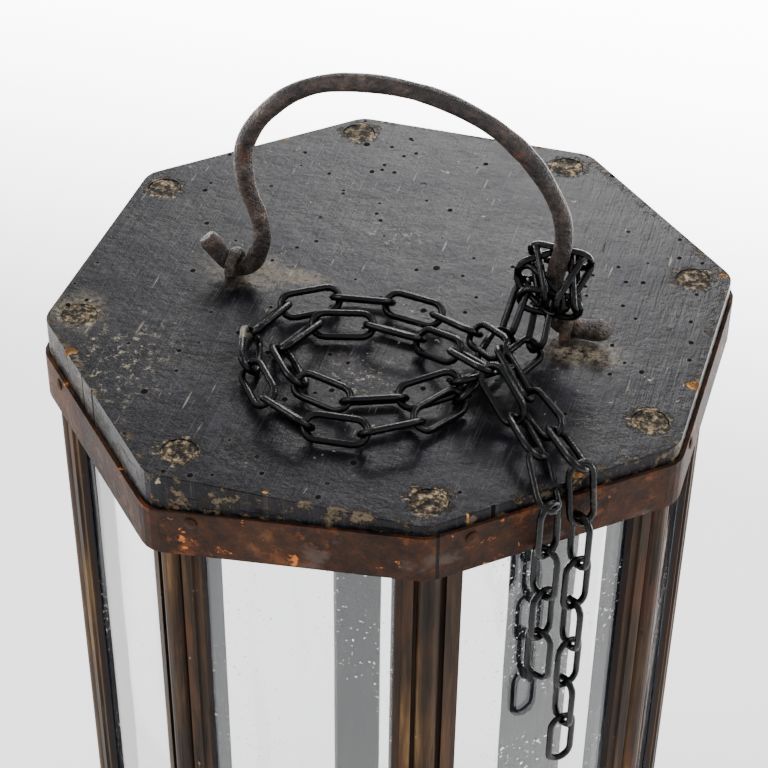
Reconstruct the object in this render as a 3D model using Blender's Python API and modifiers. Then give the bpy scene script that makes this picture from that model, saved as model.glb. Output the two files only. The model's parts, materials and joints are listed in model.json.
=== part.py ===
"""Octagonal barn lantern: eight moulded posts between two boards, seven fixed panes and a glazed door,
iron bands, a forged handle hooked through two staples, and a chain knotted round the handle's foot.

Metres, +Z up. The origin is on the floor, in the middle of the base. The front face looks along -Y.
"""

import math

import bmesh
import bpy
from mathutils import Matrix, Vector

# ---------------------------------------------------------------- driving dimensions, metres and degrees
GAP = 0.0003  # between pieces that touch

BODY_HEIGHT = 0.500  # floor to the top of the top board
BOARD_THICKNESS = 0.028
BOARD_EDGE_ROUND = 0.0022
BASE_CORNER_RADIUS = 0.1505
CORNER_ROUND = 0.011
FIRST_CORNER_ANGLE = -157.5
EIGHTH = 45.0
# The top board was sawn by eye: each corner's distance from the middle, and its turn off a true octagon.
TOP_CORNERS = (
    (0.1495, 0.3), (0.1525, -0.6), (0.1495, -1.1), (0.1520, -1.9),
    (0.1525, 0.0), (0.1505, -0.9), (0.1485, -1.3), (0.1490, -1.6),
)
CORNER_NAMES = (
    "left_front", "front_left", "front_right", "right_front",
    "right_back", "back_right", "back_left", "left_back",
)
FACE_NAMES = (
    "front_left", "front", "front_right", "right",
    "back_right", "back", "back_left", "left",
)
DOOR_FACE = 4  # the back right face, between posts 4 and 5

FLAT_APOTHEM = 0.1355  # middle of the lantern to the posts' outer flats
POST_WIDTH_ON_FACE = 0.0146  # corner line to the post's side, measured along a face
POST_BACK = 0.126  # middle of the lantern to the posts' backs
POST_BACK_HALF = 0.0126
BEAD_RADIUS = 0.0048
QUIRK_DEPTH = 0.0030
QUIRK_END = 0.0072
FILLET_START = 0.0116
FILLET_DEPTH = 0.0012
TENON_CIRCLE = 0.1345
TENON_RADIUS = 0.0075

GLASS_APOTHEM = 0.1300  # middle of the glass
GLASS_THICKNESS = 0.0020
GROOVE_WIDTH = 0.0026
GROOVE_END = 0.0098  # corner line to the groove's bottom
PANE_HALF_WIDTH = 0.0434

BAND_THICKNESS = 0.0016
BAND_HEIGHT = 0.0220
# The height of the top band's middle at each corner: it has slipped down on the -X side.
TOP_BAND_HEIGHTS = (0.4715, 0.4715, 0.4840, 0.4810, 0.4800, 0.4780, 0.4760, 0.4735)
BOTTOM_BAND_HEIGHTS = (0.0150,) * 8
NAIL_ABOVE_MIDDLE = 0.0060  # in the top band
NAIL_FROM_CORNER = 0.0196
NAIL_SHANK_RADIUS = 0.0011
NAIL_LENGTH = 0.0120
NAIL_HEAD_RADIUS = 0.0027

DOOR_LOW = 0.0405
DOOR_HIGH = 0.4595
DOOR_PLAY = 0.0008
DOOR_OUTER = 0.1353
DOOR_INNER = 0.1273
STILE_INSIDE = 0.0290  # middle of the door to the stiles' inner edges
RAIL_HEIGHT = 0.0150
DOOR_GROOVE_DEPTH = 0.0030

HINGE_AXIS_X = -0.0420  # in the door face's own frame, X along the face and Y outward
HINGE_AXIS_Y = 0.1378
HINGE_HEIGHTS = (0.105, 0.395)
HINGE_LENGTH = 0.036
KNUCKLE_RADIUS = 0.0020
HINGE_PIN_RADIUS = 0.0010
LEAF_THICKNESS = 0.0012
LEAF_LENGTH = 0.0075

LATCH_X = 0.0468
LATCH_Z = 0.262
LATCH_LENGTH = 0.025
LATCH_WIDTH = 0.0088
LATCH_THICKNESS = 0.0030
LATCH_LIFT = 0.0010  # the button turns clear of the post's bead
KNOB_X = 0.0348
KNOB_Z = 0.222

HANDLE_Y = -0.005  # the handle's axis runs along X at this depth
AXIS_ABOVE_BOARD = 0.0052
HANDLE_RADIUS = 0.0036
# The handle's centre line, from the left tail to the right: along its axis, and up from the board.
HANDLE_PATH = (
    (-0.0850, 0.0130), (-0.0790, 0.0085), (-0.0735, 0.0054), (-0.0695, 0.0052), (-0.0660, 0.0054),
    (-0.0610, 0.0090), (-0.0582, 0.0160), (-0.0566, 0.0240), (-0.0580, 0.0340), (-0.0620, 0.0460),
    (-0.0640, 0.0590), (-0.0630, 0.0690), (-0.0580, 0.0800), (-0.0510, 0.0890), (-0.0425, 0.0970),
    (-0.0320, 0.1030), (-0.0210, 0.1065), (-0.0080, 0.1082), (0.0040, 0.1081), (0.0170, 0.1066),
    (0.0290, 0.1033), (0.0420, 0.0976), (0.0525, 0.0902), (0.0613, 0.0814), (0.0680, 0.0716),
    (0.0730, 0.0613), (0.0750, 0.0524), (0.0750, 0.0433), (0.0730, 0.0318), (0.0722, 0.0170),
    (0.0735, 0.0090), (0.0770, 0.0054), (0.0800, 0.0052), (0.0840, 0.0052), (0.0900, 0.0054),
    (0.0955, 0.0075), (0.0990, 0.0120),
)
STAPLE_PLACES = (-0.0695, 0.0800)  # along the handle's axis
STAPLE_WIRE_RADIUS = 0.0017
STAPLE_ARCH_RADIUS = 0.0064
STAPLE_LEG = 0.0140

SHIELD_RADIUS = 0.048
SHIELD_THICKNESS = 0.0008
PAN_RADIUS = 0.034
PAN_DEPTH = 0.009
PAN_THICKNESS = 0.0010
SOCKET_RADIUS = 0.0115
SOCKET_HEIGHT = 0.034
AIR_HOLE_RADIUS = 0.005
AIR_HOLE_CIRCLE = 0.075
AIR_HOLES = 4

CHAIN_TUBE_RADIUS = 0.0045
CHAIN_LIFT = 0.0060  # the chain's middle above the board, where it lies
# The chain's two ends run out over the front right edge: X, Y, and up from the board.
LONG_END = (
    (0.0730, -0.0565, 0.0075), (0.0790, -0.0632, 0.0065), (0.0885, -0.0735, CHAIN_LIFT),
    (0.0985, -0.0868, CHAIN_LIFT), (0.1062, -0.0962, 0.0052), (0.1079, -0.0990, -0.0030),
    (0.1076, -0.0996, -0.0140), (0.1072, -0.0998, -0.0600), (0.1068, -0.0997, -0.1100),
    (0.1068, -0.0997, -0.1560),
)
SHORT_END = (
    (0.0700, -0.0690, 0.0075), (0.0780, -0.0785, 0.0062), (0.0858, -0.0902, CHAIN_LIFT),
    (0.0922, -0.1030, CHAIN_LIFT), (0.0948, -0.1080, 0.0035), (0.0962, -0.1104, -0.0040),
    (0.0964, -0.1108, -0.0140), (0.0962, -0.1104, -0.0600), (0.0962, -0.1103, -0.1100),
)
CHAIN_LEAD = ((0.0700, -0.0270, CHAIN_LIFT), (0.0698, -0.0340, CHAIN_LIFT), (0.0672, -0.0410, CHAIN_LIFT))
COIL_MIDDLE = (0.003, -0.055)
COIL_OUTER = (0.058, 0.054)
COIL_INNER = (0.026, 0.015)
COIL_HEIGHT = 0.012
KNOT_MIDDLE = (0.0695, -0.0012)  # in the handle's own frame
KNOT_SIZE = (0.0190, 0.0080)
KNOT_HOLE_X = 0.0737
KNOT_HOLE_RADIUS = 0.0056
KNOT_LOW = 0.0145
KNOT_HIGH = 0.0440

# ---------------------------------------------------------------- materials
FINISHES = {  # base colour, roughness, metallic
    "black_board": ((0.035, 0.036, 0.040), 0.62, 0.0),
    "old_wood": ((0.115, 0.070, 0.042), 0.60, 0.0),
    "rusty_iron": ((0.085, 0.045, 0.030), 0.65, 0.6),
    "handle_iron": ((0.050, 0.040, 0.036), 0.55, 0.7),
    "chain_steel": ((0.018, 0.018, 0.020), 0.35, 0.8),
    "tinplate": ((0.30, 0.30, 0.29), 0.45, 0.9),
    "clear_glass": ((0.80, 0.86, 0.84), 0.05, 0.0),
}


def finish(name):
    material = bpy.data.materials.get(name)
    if material:
        return material
    colour, roughness, metallic = FINISHES[name]
    material = bpy.data.materials.new(name)
    material.use_nodes = True
    shader = material.node_tree.nodes["Principled BSDF"]
    shader.inputs["Base Color"].default_value = (*colour, 1.0)
    shader.inputs["Roughness"].default_value = roughness
    shader.inputs["Metallic"].default_value = metallic
    if name == "clear_glass":
        shader.inputs["Transmission Weight"].default_value = 1.0
    return material


# ---------------------------------------------------------------- modelling helpers
def group(name):
    collection = bpy.data.collections.new(name)
    bpy.context.scene.collection.children.link(collection)
    return collection


def add_piece(name, mesh, material, place=None):
    """One named sub-part, in the lantern's collection."""
    piece = bpy.data.objects.new(name, mesh)
    mesh.materials.clear()
    # Each sub-part has its own material, copied from its finish.
    own = finish(material).copy()
    own.name = f"{name}_{material}"
    mesh.materials.append(own)
    PARTS.objects.link(piece)
    if place is not None:
        piece.matrix_world = place
    return piece


def as_tool(piece):
    """Moves a piece to the cutters: a shape that only cuts or joins another."""
    PARTS.objects.unlink(piece)
    TOOLS.objects.link(piece)
    piece.hide_render = True
    piece.display_type = "WIRE"
    return piece


def combine(piece, tool, operation="DIFFERENCE"):
    boolean = piece.modifiers.new(operation.lower(), "BOOLEAN")
    boolean.operation = operation
    boolean.object = tool
    boolean.solver = "EXACT"


def soften(piece, width, segments=2):
    bevel = piece.modifiers.new("worn_edges", "BEVEL")
    bevel.width = width
    bevel.segments = segments
    bevel.limit_method = "ANGLE"
    bevel.angle_limit = math.radians(40)


def mesh_of_curve(curve):
    """The curve's surface as a closed mesh; the curve itself is removed."""
    holder = bpy.data.objects.new("outline", curve)
    bpy.context.scene.collection.objects.link(holder)
    depsgraph = bpy.context.evaluated_depsgraph_get()
    mesh = bpy.data.meshes.new_from_object(holder.evaluated_get(depsgraph))
    bpy.data.objects.remove(holder)
    shape = bmesh.new()
    shape.from_mesh(mesh)
    bmesh.ops.remove_doubles(shape, verts=shape.verts, dist=1e-6)
    bmesh.ops.recalc_face_normals(shape, faces=shape.faces)
    shape.to_mesh(mesh)
    shape.free()
    return mesh


def plate(name, loops, low, high, material, place=None):
    """A flat outline, with any holes as further loops, extruded from one height to another."""
    curve = bpy.data.curves.new(name, "CURVE")
    curve.dimensions = "2D"
    curve.fill_mode = "BOTH"
    curve.extrude = (high - low) / 2
    for loop in loops:
        spline = curve.splines.new("POLY")
        spline.points.add(len(loop) - 1)
        for point, corner in zip(spline.points, loop):
            point.co = (corner[0], corner[1], 0, 1)
        spline.use_cyclic_u = True
    mesh = mesh_of_curve(curve)
    mesh.transform(Matrix.Translation((0, 0, (low + high) / 2)))
    return add_piece(name, mesh, material, place)


def wire(name, points, radius, material, place=None, roundness=2):
    """A round bar along the points, with closed ends."""
    curve = bpy.data.curves.new(name, "CURVE")
    curve.dimensions = "3D"
    curve.bevel_depth = radius
    curve.bevel_resolution = roundness
    curve.use_fill_caps = True
    spline = curve.splines.new("POLY")
    spline.points.add(len(points) - 1)
    for point, place_of in zip(spline.points, points):
        point.co = (*place_of, 1)
    mesh = mesh_of_curve(curve)
    mesh.shade_smooth()
    mesh.set_sharp_from_angle(angle=math.radians(50))
    return add_piece(name, mesh, material, place)


def box(name, low, high, material, place=None):
    shape = bmesh.new()
    bmesh.ops.create_cube(shape, size=1)
    size = [b - a for a, b in zip(low, high)]
    middle = [(a + b) / 2 for a, b in zip(low, high)]
    bmesh.ops.scale(shape, vec=size, verts=shape.verts)
    bmesh.ops.translate(shape, vec=middle, verts=shape.verts)
    mesh = bpy.data.meshes.new(name)
    shape.to_mesh(mesh)
    shape.free()
    return add_piece(name, mesh, material, place)


def cylinder(name, radius, low, high, material, place=None, sides=16):
    """A round bar along the place's Z axis."""
    shape = bmesh.new()
    bmesh.ops.create_cone(
        shape, cap_ends=True, segments=sides, radius1=radius, radius2=radius, depth=high - low
    )
    bmesh.ops.translate(shape, vec=(0, 0, (low + high) / 2), verts=shape.verts)
    mesh = bpy.data.meshes.new(name)
    shape.to_mesh(mesh)
    shape.free()
    return add_piece(name, mesh, material, place)


def turned(name, profile, material, place=None, steps=16, closed=False):
    """A profile of (radius, height) turned about Z. It runs down the outer side, top to bottom."""
    mesh = bpy.data.meshes.new(name)
    count = len(profile)
    edges = [(i, i + 1) for i in range(count - 1)]
    if closed:
        edges.append((count - 1, 0))
    mesh.from_pydata([(radius, 0, height) for radius, height in profile], edges, [])
    piece = add_piece(name, mesh, material, place)
    screw = piece.modifiers.new("turned", "SCREW")
    screw.steps = screw.render_steps = steps
    screw.use_merge_vertices = True
    screw.merge_threshold = 1e-6
    weld = piece.modifiers.new("axis", "WELD")
    weld.merge_threshold = 1e-6
    return piece


def smooth_path(points, steps):
    """A Catmull-Rom curve through the points, with so many steps from each to the next."""
    places = [Vector(point) for point in points]
    places = [2 * places[0] - places[1], *places, 2 * places[-1] - places[-2]]
    path = []
    for i in range(1, len(places) - 2):
        a, b, c, d = places[i - 1 : i + 3]
        for step in range(steps):
            t = step / steps
            path.append(
                (2 * b + (c - a) * t + (2 * a - 5 * b + 4 * c - d) * t**2 + (3 * b - a - 3 * c + d) * t**3) / 2
            )
    path.append(places[-2])
    return path


# ---------------------------------------------------------------- the octagon
def corner_angle(corner):
    return FIRST_CORNER_ANGLE + EIGHTH * corner


def corner_place(corner):
    """A frame turned so that its X points out through the corner."""
    return Matrix.Rotation(math.radians(corner_angle(corner)), 4, "Z")


def face_place(face):
    """A frame turned so that its Y points out through the face, and its X runs along the face."""
    return Matrix.Rotation(math.radians(corner_angle(face) + EIGHTH / 2 - 90), 4, "Z")


def octagon(corners, grow=0.0):
    """The corners of a near-regular octagon, with its sides moved out by some distance."""
    out = grow / math.cos(math.radians(EIGHTH / 2))
    return [
        Matrix.Rotation(math.radians(corner_angle(i) + turn), 2) @ Vector((radius + out, 0))
        for i, (radius, turn) in enumerate(corners)
    ]


def rounded(corners, radius, steps=3):
    """The outline through the corners, each rounded by an arc."""
    outline = []
    for i, corner in enumerate(corners):
        before = (corners[i - 1] - corner).normalized()
        after = (corners[(i + 1) % len(corners)] - corner).normalized()
        half = before.angle(after) / 2
        centre = corner + (before + after).normalized() * (radius / math.sin(half))
        start = corner + before * (radius / math.tan(half)) - centre
        sweep = math.pi - 2 * half
        outline += [centre + Matrix.Rotation(sweep * s / steps, 2) @ start for s in range(steps + 1)]
    return outline


def ellipse(middle, size, sides=32):
    turns = [2 * math.pi * i / sides for i in range(sides)]
    return [(middle[0] + size[0] * math.cos(t), middle[1] + size[1] * math.sin(t)) for t in turns]


BASE_CORNERS = ((BASE_CORNER_RADIUS, 0.0),) * 8
BOARD_BOTTOM = BODY_HEIGHT - BOARD_THICKNESS  # underside of the top board
FLOOR_INSIDE = BOARD_THICKNESS  # top of the base board


# ---------------------------------------------------------------- boards and bands
def make_board(name, corners, low):
    board = plate(name, [rounded(octagon(corners), CORNER_ROUND)], low, low + BOARD_THICKNESS, "black_board")
    soften(board, BOARD_EDGE_ROUND)
    return board


def make_band(name, corners, heights):
    """An iron hoop round a board, its middle at a height of its own at each corner."""
    inner = rounded(octagon(corners, GAP), CORNER_ROUND)
    outer = rounded(octagon(corners, GAP + BAND_THICKNESS), CORNER_ROUND + BAND_THICKNESS)
    band = plate(name, [outer, inner], -BAND_HEIGHT / 2, BAND_HEIGHT / 2, "rusty_iron")
    for vertex in band.data.vertices:
        turn = math.degrees(math.atan2(vertex.co.y, vertex.co.x)) - FIRST_CORNER_ANGLE
        vertex.co.z += heights[round(turn / EIGHTH) % 8]
    return band


def nail_place(corners, heights, face, rise):
    """A frame on a band's outside, near a corner, whose Z points outward."""
    outline = octagon(corners, GAP + BAND_THICKNESS)
    side = outline[(face + 1) % 8] - outline[face]
    share = NAIL_FROM_CORNER / side.length
    spot = outline[face] + side * share
    height = heights[face] * (1 - share) + heights[(face + 1) % 8] * share + rise
    outward = Vector((side.y, -side.x, 0))
    turn = outward.to_track_quat("Z", "Y").to_matrix().to_4x4()
    return Matrix.Translation((spot.x, spot.y, height)) @ turn


def make_nail(name, place, band, board):
    profile = (
        (0, 0.0013), (0.0016, 0.0010), (NAIL_HEAD_RADIUS, GAP * 2), (NAIL_HEAD_RADIUS, GAP),
        (NAIL_SHANK_RADIUS, GAP), (NAIL_SHANK_RADIUS, -NAIL_LENGTH), (0, -NAIL_LENGTH - 0.0015),
    )
    turned(name, profile, "rusty_iron", place, steps=10)
    hole = as_tool(cylinder(f"{name}_hole", NAIL_SHANK_RADIUS + GAP, -NAIL_LENGTH - 0.002, 0.003, "rusty_iron", place, 8))
    combine(band, hole)
    combine(board, hole)


def make_boards():
    top = make_board("top_board", TOP_CORNERS, BOARD_BOTTOM)
    base = make_board("base_board", BASE_CORNERS, 0.0)
    top_band = make_band("top_band", TOP_CORNERS, TOP_BAND_HEIGHTS)
    bottom_band = make_band("bottom_band", BASE_CORNERS, BOTTOM_BAND_HEIGHTS)
    for face, name in enumerate(CORNER_NAMES):
        place = nail_place(TOP_CORNERS, TOP_BAND_HEIGHTS, face, NAIL_ABOVE_MIDDLE)
        make_nail(f"top_nail_{name}", place, top_band, top)
    for face in range(1, 8, 2):
        place = nail_place(BASE_CORNERS, BOTTOM_BAND_HEIGHTS, face, 0.0)
        make_nail(f"bottom_nail_{CORNER_NAMES[face]}", place, bottom_band, base)
    for i in range(AIR_HOLES):
        turn = Matrix.Rotation(math.radians(i * 360 / AIR_HOLES), 4, "Z")
        place = turn @ Matrix.Translation((AIR_HOLE_CIRCLE, 0, 0))
        combine(base, as_tool(cylinder(f"air_hole_{i}", AIR_HOLE_RADIUS, -0.01, 0.04, "black_board", place)))
    return top, base


# ---------------------------------------------------------------- posts and fixed panes
def on_face(apothem, along):
    """A point beside the corner line, in the corner's frame: its face's apothem, and how far along it."""
    half = math.radians(EIGHTH / 2)
    return apothem / math.cos(half) - along * math.sin(half), along * math.cos(half)


def half_post(grooved):
    """One side of a post's section, from the bead's top round to the back."""
    bead_middle = FLAT_APOTHEM / math.cos(math.radians(EIGHTH / 2)) - BEAD_RADIUS
    outline = []
    for step in range(6):
        turn = math.radians(19 * step)
        outline.append((bead_middle + BEAD_RADIUS * math.cos(turn), BEAD_RADIUS * math.sin(turn)))
    outline += [
        on_face(FLAT_APOTHEM - QUIRK_DEPTH, QUIRK_END - 0.0010),
        on_face(FLAT_APOTHEM - QUIRK_DEPTH, QUIRK_END),
        on_face(FLAT_APOTHEM, QUIRK_END),
        on_face(FLAT_APOTHEM, FILLET_START),
        on_face(FLAT_APOTHEM - FILLET_DEPTH, FILLET_START),
        on_face(FLAT_APOTHEM - FILLET_DEPTH, POST_WIDTH_ON_FACE),
    ]
    if grooved:
        front = GLASS_APOTHEM + GROOVE_WIDTH / 2
        back = GLASS_APOTHEM - GROOVE_WIDTH / 2
        outline += [
            on_face(front, POST_WIDTH_ON_FACE), on_face(front, GROOVE_END),
            on_face(back, GROOVE_END), on_face(back, POST_WIDTH_ON_FACE),
        ]
    outline += [on_face(DOOR_INNER - 0.002, POST_WIDTH_ON_FACE), (POST_BACK, POST_BACK_HALF)]
    return outline


def make_posts(top, base):
    posts = []
    for corner, name in enumerate(CORNER_NAMES):
        left = half_post(grooved=corner != DOOR_FACE)
        right = half_post(grooved=corner != DOOR_FACE + 1)
        # The side with growing Y belongs to the face that follows the corner.
        outline = left + [(r, -t) for r, t in reversed(right[1:])]
        place = corner_place(corner)
        post = plate(f"post_{name}", [outline], FLOOR_INSIDE + GAP, BOARD_BOTTOM - GAP, "old_wood", place)
        middle = place @ Matrix.Translation((TENON_CIRCLE, 0, 0))
        tenon = as_tool(cylinder(f"tenon_{name}", TENON_RADIUS, GAP, BODY_HEIGHT - GAP, "old_wood", middle))
        mortise = as_tool(cylinder(f"mortise_{name}", TENON_RADIUS + GAP, -0.01, BODY_HEIGHT + 0.01, "old_wood", middle))
        combine(post, tenon, "UNION")
        combine(top, mortise)
        combine(base, mortise)
        posts.append(post)
    return posts


def make_panes():
    for face, name in enumerate(FACE_NAMES):
        if face == DOOR_FACE:
            continue
        low = (-PANE_HALF_WIDTH, GLASS_APOTHEM - GLASS_THICKNESS / 2, FLOOR_INSIDE + GAP)
        high = (PANE_HALF_WIDTH, GLASS_APOTHEM + GLASS_THICKNESS / 2, BOARD_BOTTOM - GAP)
        box(f"pane_{name}", low, high, "clear_glass", face_place(face))


# ---------------------------------------------------------------- door, hinges and latch
def opening_half(apothem):
    """Half the width between the door's posts, so far from the lantern's middle."""
    return apothem * math.tan(math.radians(EIGHTH / 2)) - POST_WIDTH_ON_FACE


def make_door(place):
    fixed = ((FLOOR_INSIDE + GAP, DOOR_LOW - DOOR_PLAY, "door_sill"), (DOOR_HIGH + DOOR_PLAY, BOARD_BOTTOM - GAP, "door_head"))
    for low, high, name in fixed:
        outline = [
            (side * (opening_half(depth) - GAP), depth)
            for side, depth in ((-1, DOOR_INNER), (1, DOOR_INNER), (1, DOOR_OUTER), (-1, DOOR_OUTER))
        ]
        plate(name, [outline], low, high, "old_wood", place)

    groove = (GLASS_APOTHEM - GROOVE_WIDTH / 2, GLASS_APOTHEM + GROOVE_WIDTH / 2)
    deep = STILE_INSIDE + DOOR_GROOVE_DEPTH
    stile = [
        (STILE_INSIDE, DOOR_INNER), (opening_half(DOOR_INNER) - DOOR_PLAY, DOOR_INNER),
        (opening_half(DOOR_OUTER) - DOOR_PLAY, DOOR_OUTER), (STILE_INSIDE, DOOR_OUTER),
        (STILE_INSIDE, groove[1]), (deep, groove[1]), (deep, groove[0]), (STILE_INSIDE, groove[0]),
    ]
    pieces = [
        plate("door_stile_latch", [stile], DOOR_LOW, DOOR_HIGH, "old_wood", place),
        plate("door_stile_hinge", [[(-x, y) for x, y in reversed(stile)]], DOOR_LOW, DOOR_HIGH, "old_wood", place),
    ]
    for name, low in (("door_rail_bottom", DOOR_LOW), ("door_rail_top", DOOR_HIGH - RAIL_HEIGHT)):
        half = STILE_INSIDE - GAP
        rail = box(name, (-half, DOOR_INNER, low), (half, DOOR_OUTER, low + RAIL_HEIGHT), "old_wood", place)
        reach = deep - GAP
        tongue_low = (-reach, groove[0] + GAP, low + 0.001)
        tongue_high = (reach, groove[1] - GAP, low + RAIL_HEIGHT - 0.001)
        tongue = as_tool(box(f"{name}_tongue", tongue_low, tongue_high, "old_wood", place))
        combine(rail, tongue, "UNION")
        edge = low + RAIL_HEIGHT if low == DOOR_LOW else low
        slot_low = (-half - 0.01, groove[0], edge - DOOR_GROOVE_DEPTH)
        slot_high = (half + 0.01, groove[1], edge + DOOR_GROOVE_DEPTH)
        combine(rail, as_tool(box(f"{name}_slot", slot_low, slot_high, "old_wood", place)))
        pieces.append(rail)
    glass_reach = DOOR_GROOVE_DEPTH - GAP
    low = (-STILE_INSIDE - glass_reach, GLASS_APOTHEM - GLASS_THICKNESS / 2, DOOR_LOW + RAIL_HEIGHT - glass_reach)
    high = (STILE_INSIDE + glass_reach, GLASS_APOTHEM + GLASS_THICKNESS / 2, DOOR_HIGH - RAIL_HEIGHT + glass_reach)
    pieces.append(box("door_pane", low, high, "clear_glass", place))

    knob_profile = (
        (0, 0.0120), (0.0035, 0.0112), (0.0055, 0.0088), (0.0055, 0.0070), (0.0030, 0.0045),
        (0.0034, GAP), (0.0020, GAP), (0.0020, -0.0060), (0, -0.0060),
    )
    outward = Matrix.Rotation(math.radians(-90), 4, "X")
    knob_place = place @ Matrix.Translation((KNOB_X, DOOR_OUTER, KNOB_Z)) @ outward
    pieces.append(turned("door_knob", knob_profile, "handle_iron", knob_place))
    knob_hole = as_tool(cylinder("knob_hole", 0.0020 + GAP, -0.0065, 0.002, "old_wood", knob_place, 12))
    combine(pieces[0], knob_hole)
    return pieces


def make_leaf(name, place, side, surface, knuckles):
    """A hinge leaf: a plate on one side of the pin, and its knuckles as (low, high) heights."""
    low_z, high_z = -HINGE_LENGTH / 2, HINGE_LENGTH / 2
    clear = KNUCKLE_RADIUS + 0.0004
    ends = sorted((side * clear, side * (clear + LEAF_LENGTH)))
    leaf = box(name, (ends[0], surface, low_z), (ends[1], surface + LEAF_THICKNESS, high_z), "handle_iron", place)
    for i, (low, high) in enumerate(knuckles):
        barrel = as_tool(cylinder(f"{name}_knuckle_{i}", KNUCKLE_RADIUS, low, high, "handle_iron", place, 14))
        combine(leaf, barrel, "UNION")
        reach = sorted((0.0, side * (clear + 0.001)))
        web_low = (reach[0], surface, low)
        web_high = (reach[1], surface + LEAF_THICKNESS, high)
        combine(leaf, as_tool(box(f"{name}_web_{i}", web_low, web_high, "handle_iron", place)), "UNION")
    bore = as_tool(cylinder(f"{name}_bore", HINGE_PIN_RADIUS + GAP, -0.03, 0.03, "handle_iron", place, 12))
    combine(leaf, bore)
    return leaf


def make_hinge(name, place, height):
    """A butt hinge. Returns the pieces that swing with the door."""
    axis = place @ Matrix.Translation((HINGE_AXIS_X, HINGE_AXIS_Y, height))
    third = HINGE_LENGTH / 3
    outer_knuckles = ((-1.5 * third, -0.5 * third - GAP), (0.5 * third + GAP, 1.5 * third))
    surface = FLAT_APOTHEM + GAP - HINGE_AXIS_Y
    make_leaf(f"{name}_frame_leaf", axis, -1, surface, outer_knuckles)
    door_surface = DOOR_OUTER + GAP - HINGE_AXIS_Y
    leaf = make_leaf(f"{name}_door_leaf", axis, 1, door_surface, ((-0.5 * third, 0.5 * third),))
    head = HINGE_LENGTH / 2 + GAP
    profile = (
        (0, head + 0.0012), (0.0016, head + 0.0010), (0.0016, head), (HINGE_PIN_RADIUS, head),
        (HINGE_PIN_RADIUS, -HINGE_LENGTH / 2 - 0.001), (0, -HINGE_LENGTH / 2 - 0.001),
    )
    turned(f"{name}_pin", profile, "handle_iron", axis, steps=12)
    return [leaf]


def make_latch(place, post):
    """A turn button on the post beside the door, upright where it frees the door."""
    outward = Matrix.Rotation(math.radians(-90), 4, "X")
    pivot = place @ Matrix.Translation((LATCH_X, FLAT_APOTHEM + LATCH_LIFT, LATCH_Z)) @ outward
    half, end = LATCH_LENGTH / 2, LATCH_WIDTH / 2
    outline = []
    for side in (1, -1):
        for step in range(7):
            turn = math.radians(-90 + 30 * step) + (0 if side == 1 else math.pi)
            outline.append((end * math.cos(turn + math.pi / 2), side * (half - end) + end * math.sin(turn + math.pi / 2)))
    button = plate("latch_button", [outline], 0.0, LATCH_THICKNESS, "handle_iron", pivot)
    shank = 0.0014
    bore = as_tool(cylinder("latch_bore", shank + 0.0004, -0.01, 0.01, "handle_iron", pivot, 12))
    combine(button, bore)
    top = LATCH_THICKNESS + GAP
    profile = ((0, top + 0.0014), (0.0020, top + 0.0011), (0.0032, top), (shank, top), (shank, -0.0130), (0, -0.0140))
    turned("latch_screw", profile, "handle_iron", pivot, steps=12)
    combine(post, as_tool(cylinder("latch_hole", shank + GAP, -0.0150, 0.005, "old_wood", pivot, 12)))
    return [button], pivot.to_translation()


# ---------------------------------------------------------------- handle and staples
def handle_place():
    """The handle's own frame: X along its axis, Z up from the board's top."""
    return Matrix.Translation((0, HANDLE_Y, BODY_HEIGHT))


def make_handle(top):
    place = handle_place()
    path = smooth_path([(x, 0, z) for x, z in HANDLE_PATH], 2)
    handle = wire("handle", path, HANDLE_RADIUS, "handle_iron", place, roundness=3)
    for name, along in zip(("left", "right"), STAPLE_PLACES):
        legs = [(along, -STAPLE_ARCH_RADIUS, -STAPLE_LEG)]
        for step in range(9):
            turn = math.pi * step / 8
            y = -STAPLE_ARCH_RADIUS * math.cos(turn)
            legs.append((along, y, AXIS_ABOVE_BOARD + STAPLE_ARCH_RADIUS * math.sin(turn)))
        legs.append((along, STAPLE_ARCH_RADIUS, -STAPLE_LEG))
        wire(f"staple_{name}", legs, STAPLE_WIRE_RADIUS, "rusty_iron", place)
        for side in (-1, 1):
            spot = place @ Matrix.Translation((along, side * STAPLE_ARCH_RADIUS, 0))
            hole = cylinder(f"staple_hole_{name}_{side}", STAPLE_WIRE_RADIUS + GAP, -STAPLE_LEG - GAP, 0.01, "black_board", spot, 12)
            combine(top, as_tool(hole))
    return handle


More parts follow.
